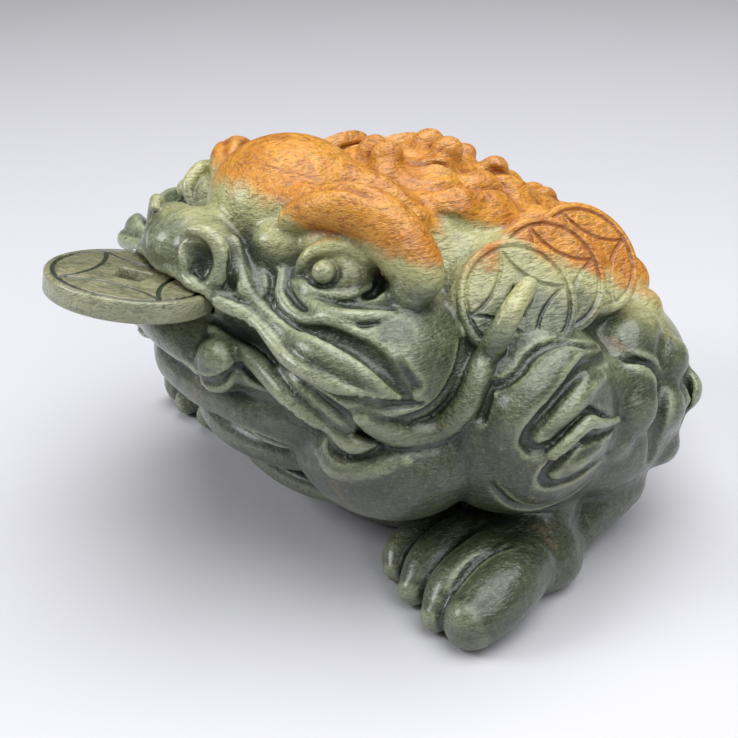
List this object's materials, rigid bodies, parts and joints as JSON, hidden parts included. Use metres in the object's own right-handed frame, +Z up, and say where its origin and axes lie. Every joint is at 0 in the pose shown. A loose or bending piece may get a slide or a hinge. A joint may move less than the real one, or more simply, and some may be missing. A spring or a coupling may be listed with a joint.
{
  "type": "money toad figurine",
  "caption": "Carved stone figurine of a squatting toad with a loose round coin held in its mouth, for a shelf or desk.",
  "frame": {"origin": "on the table surface, under the centre of the figurine's outline", "axes": "+Z up, -Y the way the toad looks, +X the toad's left side"},
  "size_m": [0.1738, 0.207, 0.116],
  "materials": {
    "toad_stone": "waxed satin, green with an orange-brown natural skin on top",
    "coin_stone": "waxed satin, olive green"
  },
  "bodies": {
    "toad": {"toad_carving": "toad_stone"},
    "coin": {"mouth_coin": "coin_stone"}
  },
  "joints": [
    {"name": "coin_slide", "type": "slide", "parent": "toad", "child": "coin", "axis": [0, -0.9848, 0.1736], "range_m": [0, 0.03]}
  ]
}
